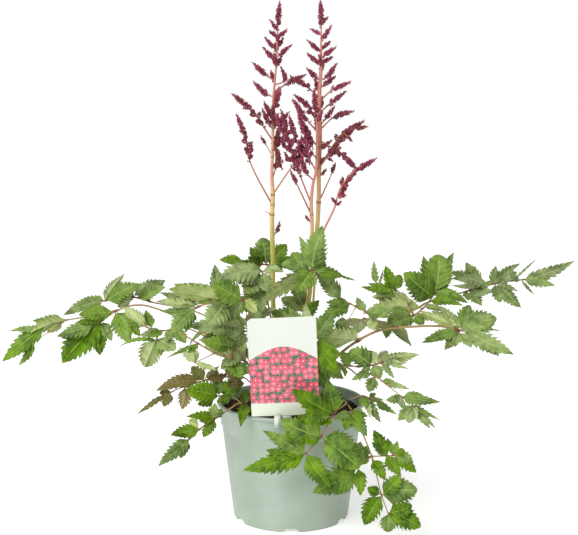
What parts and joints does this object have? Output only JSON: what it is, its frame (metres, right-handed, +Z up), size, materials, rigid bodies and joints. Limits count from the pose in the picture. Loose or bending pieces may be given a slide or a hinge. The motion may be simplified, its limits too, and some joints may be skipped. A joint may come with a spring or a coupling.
{
  "type": "astilbe plant",
  "caption": "Young potted astilbe with ferny compound leaves and slim raspberry-coloured flower spikes, in a round pale green nursery pot with a plain plant label.",
  "frame": {"origin": "on the floor under the middle of the object's bounding box, which is near the middle of the pot's foot", "axes": "+Z up, the plant's front and its label face -Y, +X to the right seen from the front"},
  "size_m": [0.6657, 0.2981, 0.594],
  "materials": {
    "pot_plastic": "moulded polypropylene, soft matt, pale sage green",
    "potting_soil": "damp peat mix, dark brown, crumbly",
    "woody_crown": "rough dark rootstock with bud scales",
    "label_plastic": null,
    "leaf_green": "waxy fresh green with sunken veins, paler underneath",
    "flower_stalk": "ridged stem, straw green to salmon pink, with dull raspberry buds"
  },
  "bodies": {
    "root": {"crown": "woody_crown", "flower_stalk_left": "flower_stalk", "flower_stalk_middle": "flower_stalk", "flower_stalk_right": "flower_stalk", "flower_stalk_tall": "flower_stalk", "leaf_back_left": "leaf_green", "leaf_back_low_left": "leaf_green", "leaf_back_low_right": "leaf_green", "leaf_back_middle": "leaf_green", "leaf_back_right": "leaf_green", "leaf_far_left": "leaf_green", "leaf_far_right": "leaf_green", "leaf_front_left": "leaf_green", "leaf_front_right": "leaf_green", "leaf_front_side": "leaf_green", "leaf_left_bronze": "leaf_green", "leaf_left_diagonal": "leaf_green", "leaf_left_grey": "leaf_green", "leaf_left_inner": "leaf_green", "leaf_left_low": "leaf_green", "leaf_left_middle": "leaf_green", "leaf_left_top": "leaf_green", "leaf_left_upper": "leaf_green", "leaf_right": "leaf_green", "leaf_right_low": "leaf_green", "leaf_right_lower": "leaf_green", "leaf_right_middle": "leaf_green", "leaf_right_upper": "leaf_green", "leaf_top_back": "leaf_green", "leaf_top_middle": "leaf_green", "leaf_top_right": "leaf_green", "plant_label": "label_plastic", "pot": "pot_plastic", "potting_soil": "potting_soil"}
  },
  "joints": []
}
